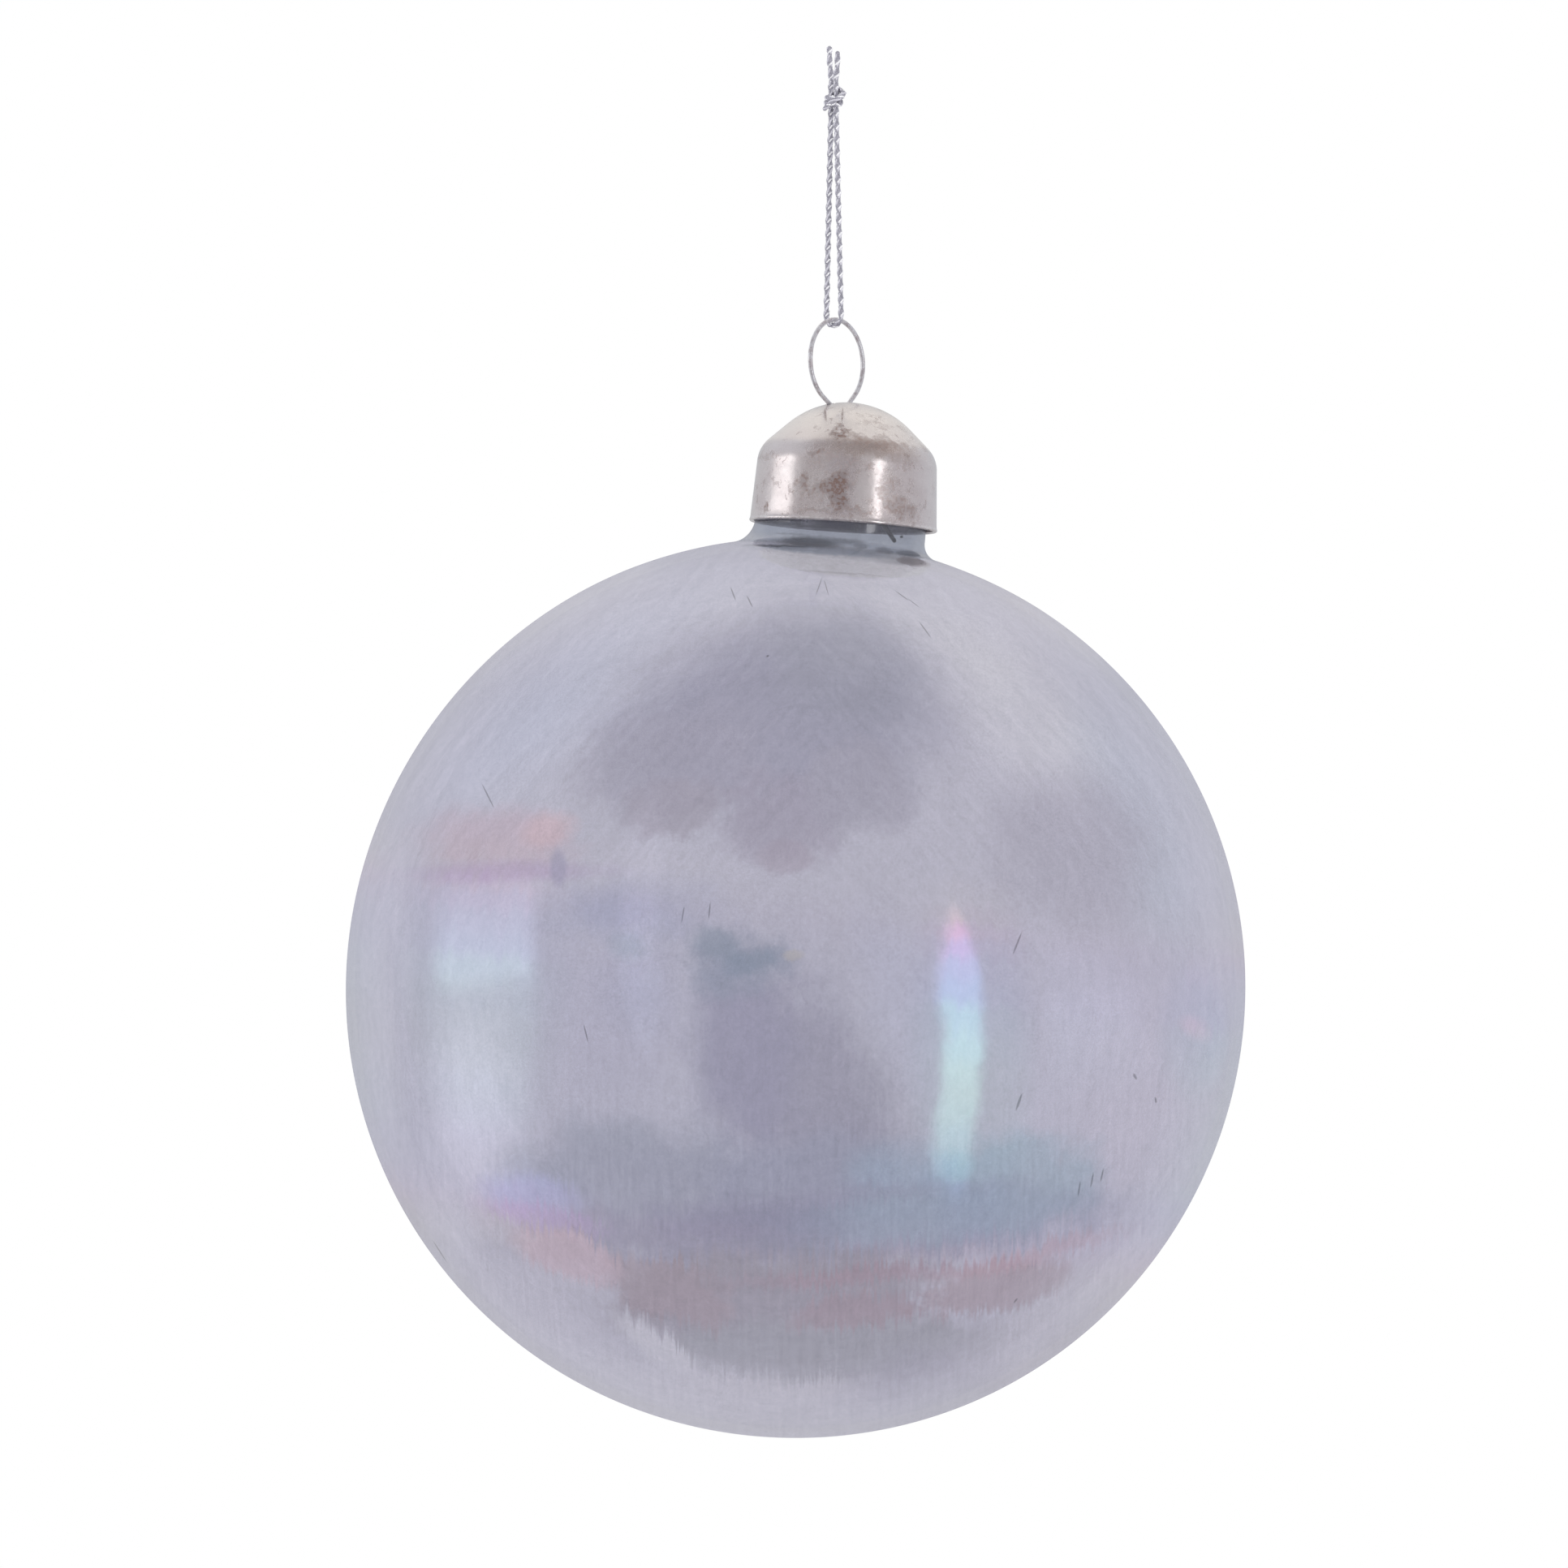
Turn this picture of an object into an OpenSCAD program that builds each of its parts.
// Hollow blown-glass ball ornament: ball with a short neck, a drawn metal
// dome cap, a bent spring-wire hanger and a knotted metallic cord loop.
// Millimetres, +Z up along the ball's axis, origin at the ball's lowest point.

/* [Ball] */
// Outside diameter of the ball
ball_d = 100; // [80:1:150]
// Thickness of the blown glass
glass_t = 1.0; // [0.8:0.1:1.2]
// Outside diameter of the neck
neck_d = 19.2; // [18.8:0.1:19.2]
// Height of the neck's lip above the ball's centre, over the ball's radius
neck_h = 8.55; // [8:0.05:8.6]
// Radius of the sweep where the neck meets the ball
neck_sweep = 3.5; // [2:0.1:4]

/* [Cap] */
// Outside diameter of the cap at its rim
cap_rim_d = 20.9; // [20.8:0.1:22]
// Outside diameter of the cap where the dome starts
cap_top_d = 20.1; // [20:0.1:20.6]
// Height of the cap from rim to crown
cap_h = 13.9; // [13.7:0.1:15]
// Height of the straight skirt
skirt_h = 6.64; // [6.5:0.02:7]
// Thickness of the cap's sheet
cap_t = 0.3; // [0.2:0.05:0.3]
// Radius of the dome's shoulder
shoulder_r = 3.6; // [3:0.1:3.8]
// Radius of the dome's crown
crown_r = 10; // [9:0.1:11]
// Slope of the dome between shoulder and crown, in degrees
dome_slope = 43; // [41:1:45]
// Height of the rim above the ball's centre, over the ball's radius
rim_h = 1.6; // [1.5:0.05:2]
// Lean of the loose cap on its neck, in degrees
cap_lean = 2.2; // [0:0.1:2.2]
// Diameter of each wire hole
hole_d = 1.3; // [1.3:0.05:1.5]
// How far the pair of wire holes sits off the crown's centre
hole_off = 1.25; // [0.8:0.05:1.3]

/* [Wire hanger] */
// Diameter of the spring wire
wire_d = 0.5; // [0.4:0.05:0.55]
// Radius of the ring, at the wire's centre
ring_r = 4.75; // [4.6:0.05:4.9]
// Turn of the ring's plane about the cap's axis, in degrees
ring_turn = 51.5; // [46:0.5:56]
// Lean of the hanger across its plane, in degrees
ring_lean = 3.5; // [2:0.5:5]
// Tilt of the hanger within its plane, in degrees
ring_tilt = 8; // [6:0.5:9]

/* [Cord] */
// Diameter of the braided cord
cord_d = 0.7; // [0.6:0.05:0.75]
// Distance from the ring to the knot
cord_len = 23; // [22:0.5:40]
// Spread of the two strands where they pass through the ring
cord_spread = 2.1; // [2:0.1:2.3]
// Lean of the cord from the ball's axis, in degrees
cord_lean = 5.9; // [0:0.1:8]
// Length of the cut ends above the knot
tail_len = 4.5; // [3:0.5:8]

/* [Hidden] */
$fn = 96;
sides = [-1, 1];
gap = 0.04;             // running gap between neighbouring pieces
weld = 0.03;            // how far a straight wire runs into a bend, to make one solid
bend_extra = 0.003;     // a bend is this much fatter in radius than the straight wire
joint_extra = 0.002;    // and so is the ball that rounds a wire's end

// Ball
ball_r = ball_d / 2;
neck_r = neck_d / 2;
bore_r = neck_r - glass_t;
lip_r = glass_t / 2;
lip_z = ball_r + neck_h - lip_r;        // centre of the rounded lip, above the ball's centre
sweep_x = neck_r + neck_sweep;          // centre of the sweep between neck and ball
sweep_z = sqrt(pow(ball_r + neck_sweep, 2) - sweep_x * sweep_x);
bore_below = 6;         // reach of the bore's cut below the ball's top
bore_above = 4;         // and above the lip

// Cap profile, from the rim's centre
cap_shift = 0.1;        // sideways shift of the cap on the neck
shoulder_x = cap_top_d / 2 - shoulder_r;
crown_z = cap_h - crown_r;              // centre of the crown's arc
slope_normal = [sin(dome_slope), cos(dome_slope)];
bead_r = 0.22;          // bead turned round the rim
bead_inset = 0.17;
bead_z = 0.2;
hole_cut_h = 6;

// Hanger, in its own frame: x along the ring's plane, z up, origin between the holes
wire_r = wire_d / 2;
ring_open = 38;         // angle from the ring's foot where the wire leaves the circle
exit_x = ring_r * sin(ring_open);
exit_z = ring_r - ring_r * cos(ring_open);
hole_x = exit_x - exit_z / tan(ring_open);
hole_z = crown_z + sqrt(pow(crown_r - cap_t / 2, 2) - hole_x * hole_x);
root_len = 1.2;         // wire below the hole, down to the bend the leg springs from
root_x = hole_x - root_len * cos(ring_open);
root_z = -root_len * sin(ring_open);

// Legs, each from its root bend: x outwards in the leg's own plane, z up.
// Columns: side, turn of the leg's plane from the ring's, knee, direction of the foot
left_leg = [-1, 6, [5.0, 0, -8.4], [0.88, 0, -0.475]];
right_leg = [1, -10, [3.3, 0, -11.2], [0.62, 0, -0.785]];
knee_bend_r = 1.1;
foot_gap = 0.06;        // between the foot's wire and the neck's bore

// Cord, in its own frame: z up the cord, y across its strands, origin at the ring's wire
cord_r = cord_d / 2;
bight_r = cord_spread / 2;
bight_z = bight_r - cord_r - wire_r - gap;
lower_z = bight_z + 1.3;                // starts of the pieces above the bight
middle_z = cord_len * 0.38;
upper_z = cord_len * 0.70;
knot_h = 3.06;
knot_bottom = cord_len + 0.02;
knot_z = knot_bottom + knot_h / 2;
knot_core_r = cord_r * 1.75;
wrap_r = cord_r * 1.9;                  // radius of a wrap, at the cord's centre
wrap_cord_r = cord_r * 1.12;
wrap_rise = 0.35;
wrap_tilt = 24;
tail_start = [0.1, cord_r + 0.03];      // x and y of a tail's ends
tail_end = [0.5, cord_r + 0.65];
tail_z = knot_bottom + knot_h + gap;
short_tail = 0.82;      // length of the tail at -y, as a share of tail_len

cord_colour = [0.78, 0.78, 0.84];
leg_colour = [0.55, 0.55, 0.56];

// ---------- frames ----------
module at_ball() translate([0, 0, ball_r]) children();

module at_cap()
  at_ball() translate([cap_shift, 0, ball_r + rim_h]) rotate([0, -cap_lean, 0]) children();

module at_hanger()
  at_cap() translate([-hole_off, 0, hole_z]) rotate([0, 0, ring_turn])
    rotate([-ring_lean, 0, 0]) rotate([0, -ring_tilt, 0]) children();

module at_cord()
  translate(from_hanger([0, 0, ring_r * 2])) rotate([0, -cord_lean, 0])
    rotate([0, 0, ring_turn]) children();

// Points turned about each axis
function turn_x(p, angle) =
  [p[0], p[1] * cos(angle) - p[2] * sin(angle), p[1] * sin(angle) + p[2] * cos(angle)];
function turn_y(p, angle) =
  [p[0] * cos(angle) + p[2] * sin(angle), p[1], -p[0] * sin(angle) + p[2] * cos(angle)];
function turn_z(p, angle) =
  [p[0] * cos(angle) - p[1] * sin(angle), p[0] * sin(angle) + p[1] * cos(angle), p[2]];

// Points of the cap's and the hanger's frames, carried to the ornament's
function from_cap(p) = turn_y(p, -cap_lean) + [cap_shift, 0, ball_d + rim_h];
function from_hanger(p) =
  from_cap(turn_z(turn_x(turn_y(p, -ring_tilt), -ring_lean), ring_turn) + [-hole_off, 0, hole_z]);

// A point of a leg, carried to the ornament's frame
function from_leg(side, turn, p) =
  from_hanger([side * root_x, 0, root_z] + turn_z([side * p[0], 0, p[2]], turn));

function larger_root(a, b, c) = (-b + sqrt(b * b - 4 * a * c)) / (2 * a);

// Length of foot, in steps of its direction, that reaches the neck's bore
function foot_len(side, turn, knee, foot_dir) = let (
    start = from_leg(side, turn, knee),
    step = from_leg(side, turn, knee + foot_dir) - start,
    reach = bore_r - wire_r - foot_gap)
  larger_root(step[0] * step[0] + step[1] * step[1],
              2 * (start[0] * step[0] + start[1] * step[1]),
              start[0] * start[0] + start[1] * start[1] - reach * reach);

// ---------- shapes ----------
// A round bar between two points
module bar(start, end, r) {
  along = end - start;
  length = norm(along);
  translate(start) rotate([0, acos(along[2] / length), atan2(along[1], along[0])])
    cylinder(h = length, r = r);
}

module ball_at(p, r) translate(p) sphere(r = r);

// Wire through three points of the XZ plane, bent at the middle one
module bent_wire(start, corner, end, bend_r) {
  to_start = (start - corner) / norm(start - corner);
  to_end = (end - corner) / norm(end - corner);
  half = acos(to_start * to_end) / 2;
  centre = corner + (to_start + to_end) / norm(to_start + to_end) * bend_r / sin(half);
  tangent_len = bend_r / tan(half);
  spoke_1 = corner + to_start * tangent_len - centre;
  spoke_2 = corner + to_end * tangent_len - centre;
  angle_1 = atan2(spoke_1[2], spoke_1[0]);
  turn = atan2(spoke_2[2], spoke_2[0]) - angle_1;
  sweep = turn > 180 ? turn - 360 : turn < -180 ? turn + 360 : turn;

  bar(start, corner + to_start * (tangent_len - weld), wire_r);
  translate(centre) rotate([90, 0, 0]) rotate([0, 0, sweep > 0 ? angle_1 : angle_1 + sweep])
    rotate_extrude(angle = abs(sweep)) translate([bend_r, 0])
      circle(r = wire_r + bend_extra, $fn = 32);
  bar(corner + to_end * (tangent_len - weld), end, wire_r);
}

// ---------- ball ----------
// Half of the ball's outline, inset into the glass
module ball_outline(inset) {
  sweep_centre = [sweep_x, sweep_z];
  intersection() {
    union() {
      circle(r = ball_r - inset, $fn = 256);
      difference() {
        polygon([
          [0, 0],
          sweep_centre * (ball_r - inset) / (ball_r + neck_sweep),
          sweep_centre,
          [neck_r - inset, sweep_z],
          [0, sweep_z]
        ]);
        translate(sweep_centre) circle(r = neck_sweep + inset);
      }
      // the neck, overlapping the sweep by a hair
      translate([0, sweep_z - 0.01]) square([neck_r - inset, lip_z - sweep_z + 0.01]);
    }
    translate([0, -ball_r - 1]) square([ball_r + 1, 2 * ball_r + neck_h + 2]);
  }
}

module glass_ball() color([0.62, 0.62, 0.68, 0.45]) at_ball()
  rotate_extrude($fn = 256) {
    difference() {
      ball_outline(0);
      ball_outline(glass_t);
      // the neck's bore runs out through the lip
      translate([-1, ball_r - bore_below]) square([bore_r + 1, neck_h + bore_below + bore_above]);
    }
    translate([neck_r - lip_r, lip_z]) circle(r = lip_r, $fn = 48);
  }

// ---------- cap ----------
// Half of the cap's outline, inset into the sheet
module cap_outline(inset) {
  rim_x = cap_rim_d / 2 - inset;
  intersection() {
    union() {
      polygon([[0, -1], [rim_x, -1], [rim_x, 0], [cap_top_d / 2 - inset, skirt_h], [0, skirt_h]]);
      translate([shoulder_x, skirt_h]) circle(r = shoulder_r - inset);
      polygon([
        [0, skirt_h],
        [shoulder_x, skirt_h],
        [shoulder_x, skirt_h] + (shoulder_r - inset) * slope_normal,
        [0, crown_z] + (crown_r - inset) * slope_normal,
        [0, crown_z]
      ]);
      translate([0, crown_z]) circle(r = crown_r - inset);
    }
    square([cap_rim_d, cap_h + 1]);
  }
}

module cap_shell() color([0.74, 0.69, 0.67]) at_cap() difference() {
  union() {
    rotate_extrude() difference() {
      cap_outline(0);
      cap_outline(cap_t);
    }
    rotate_extrude() translate([cap_rim_d / 2 - bead_inset, bead_z]) circle(r = bead_r, $fn = 24);
  }
  for (side = sides)
    translate([-hole_off, 0, 0]) rotate([0, 0, ring_turn])
      translate([side * hole_x, 0, cap_h - hole_cut_h / 2])
        cylinder(h = hole_cut_h, d = hole_d, $fn = 48);
}

// ---------- hanger ----------
// The ring and the two short roots that pass through the cap
module hanger_ring() color([0.60, 0.59, 0.60]) at_hanger() {
  translate([0, 0, ring_r]) rotate([90, 0, 0]) rotate([0, 0, -90 + ring_open])
    rotate_extrude(angle = 360 - 2 * ring_open) translate([ring_r, 0])
      circle(r = wire_r + bend_extra, $fn = 32);
  for (side = sides) {
    along = [side * cos(ring_open), 0, sin(ring_open)];
    root = [side * root_x, 0, root_z];
    bar([side * exit_x, 0, exit_z] + along * weld, root, wire_r);
    ball_at(root, wire_r + joint_extra);
  }
}

// A spring leg: from the root, down to its knee, then out to its foot near the neck's bore
module leg(spec) {
  side = spec[0];
  turn = spec[1];
  knee = spec[2];
  foot_dir = spec[3];
  foot = knee + foot_dir * foot_len(side, turn, knee, foot_dir);
  translate([side * root_x, 0, root_z]) rotate([0, 0, turn + (side > 0 ? 0 : 180)]) {
    bent_wire(knee / norm(knee) * (wire_r + gap), knee, foot, knee_bend_r);
    ball_at(foot, wire_r + joint_extra);
  }
}

// Left is the hanger's -x side
module hanger_leg_left() color(leg_colour) at_hanger() leg(left_leg);
module hanger_leg_right() color(leg_colour) at_hanger() leg(right_leg);

// ---------- cord ----------
// Distance of each strand from the cord's axis: they close up towards the knot
function strand_y(z) =
  bight_r + (cord_r + gap / 2 - bight_r) * (z - bight_z) / (cord_len - bight_z);

// Both strands of the cord between two heights
module strands(bottom, top, round_bottom = false) for (side = sides) {
  start = [0, side * strand_y(bottom), bottom];
  bar(start, [0, side * strand_y(top), top], cord_r);
  if (round_bottom) ball_at(start, cord_r);
}

// The half turn under the ring's wire, with the strands' first stretch
module cord_bight() color(cord_colour) at_cord() {
  translate([0, 0, bight_z]) rotate([90, 0, 90]) rotate([0, 0, 180])
    rotate_extrude(angle = 180) translate([bight_r, 0]) circle(r = cord_r, $fn = 32);
  strands(bight_z, lower_z - cord_r - gap);
}
module cord_lower() color(cord_colour) at_cord() strands(lower_z, middle_z - cord_r - gap, true);
module cord_middle() color(cord_colour) at_cord() strands(middle_z, upper_z - gap, true);
module cord_upper() color(cord_colour) at_cord() strands(upper_z, cord_len);

// Overhand knot in both strands: two crossing wraps round a core
module cord_knot() color([0.76, 0.76, 0.82]) at_cord() {
  for (side = sides)
    translate([0, 0, knot_z]) rotate([side * wrap_tilt, 0, 0])
      rotate_extrude() translate([wrap_r, side * wrap_rise]) circle(r = wrap_cord_r, $fn = 32);
  translate([0, 0, knot_bottom]) cylinder(h = knot_h, r = knot_core_r);
}

// The two cut ends, spreading above the knot
module cord_tails() color(cord_colour) at_cord() for (side = sides) {
  rise = tail_len * (side > 0 ? 1 : short_tail);
  bar([side * tail_start[0], side * tail_start[1], tail_z],
      [side * tail_end[0], side * tail_end[1], tail_z + rise], cord_r);
}

glass_ball();
cap_shell();
hanger_ring();
hanger_leg_left();
hanger_leg_right();
cord_bight();
cord_lower();
cord_middle();
cord_upper();
cord_knot();
cord_tails();
